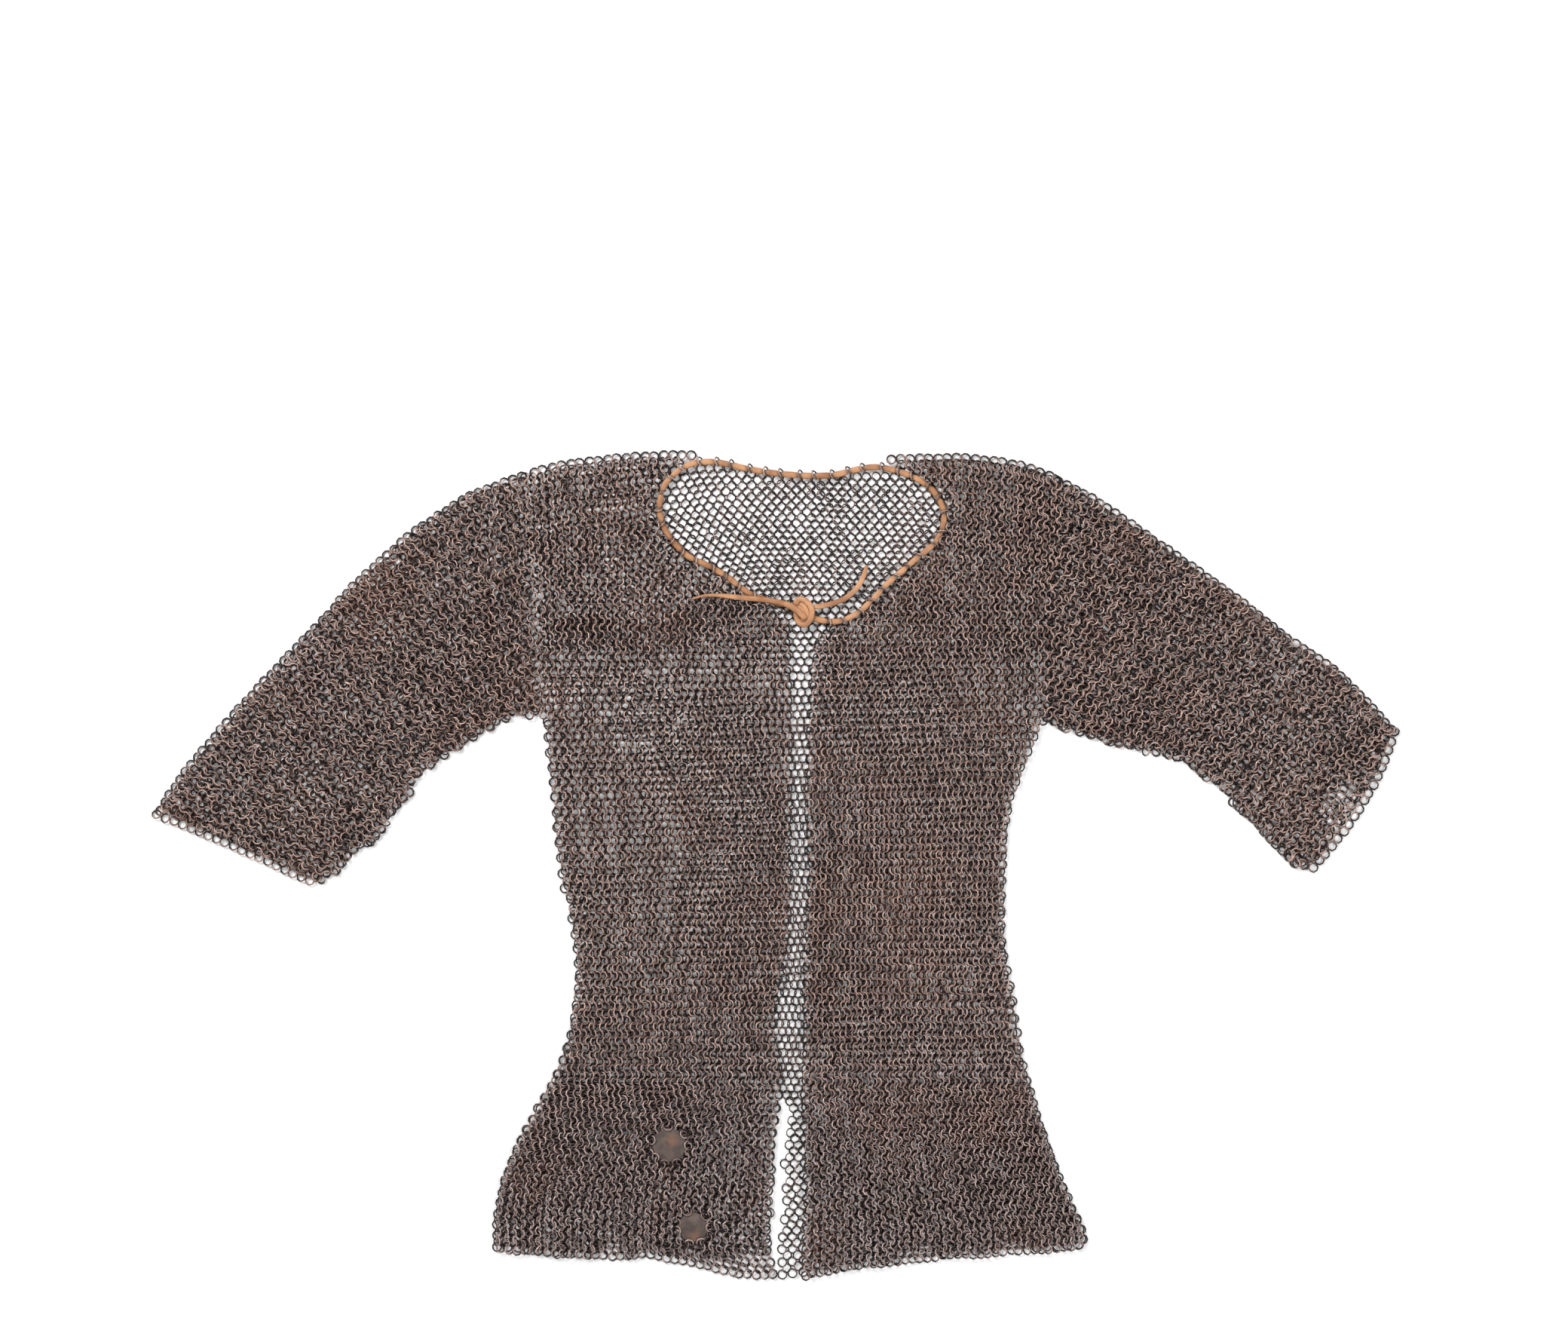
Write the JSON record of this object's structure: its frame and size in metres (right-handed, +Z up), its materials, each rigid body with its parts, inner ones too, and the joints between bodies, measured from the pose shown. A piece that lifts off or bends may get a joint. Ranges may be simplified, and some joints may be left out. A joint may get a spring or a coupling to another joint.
{
  "type": "chainmail hauberk",
  "caption": "Chainmail shirt laid flat, with short wide sleeves, a front opening, a back riding vent and a knotted leather neck thong.",
  "frame": {"origin": "middle of the laid-out hauberk's outline, on the surface it lies on", "axes": "+X towards the wearer's left sleeve, +Y from the hem to the neck, +Z up, out of the front"},
  "size_m": [1.16, 0.7719, 0.0131],
  "materials": {
    "mail": "dark, worn, slightly rusted",
    "thong": "smooth tan rawhide",
    "disc": "dark brown patina"
  },
  "bodies": {
    "root": {"back": "mail", "front_right": "mail", "front_left": "mail", "sleeve_right": "mail", "sleeve_left": "mail", "neck_thong": "thong", "thong_knot": "thong", "thong_end_right": "thong", "thong_end_left": "thong", "disc_upper": "disc", "disc_lower": "disc"}
  },
  "joints": []
}
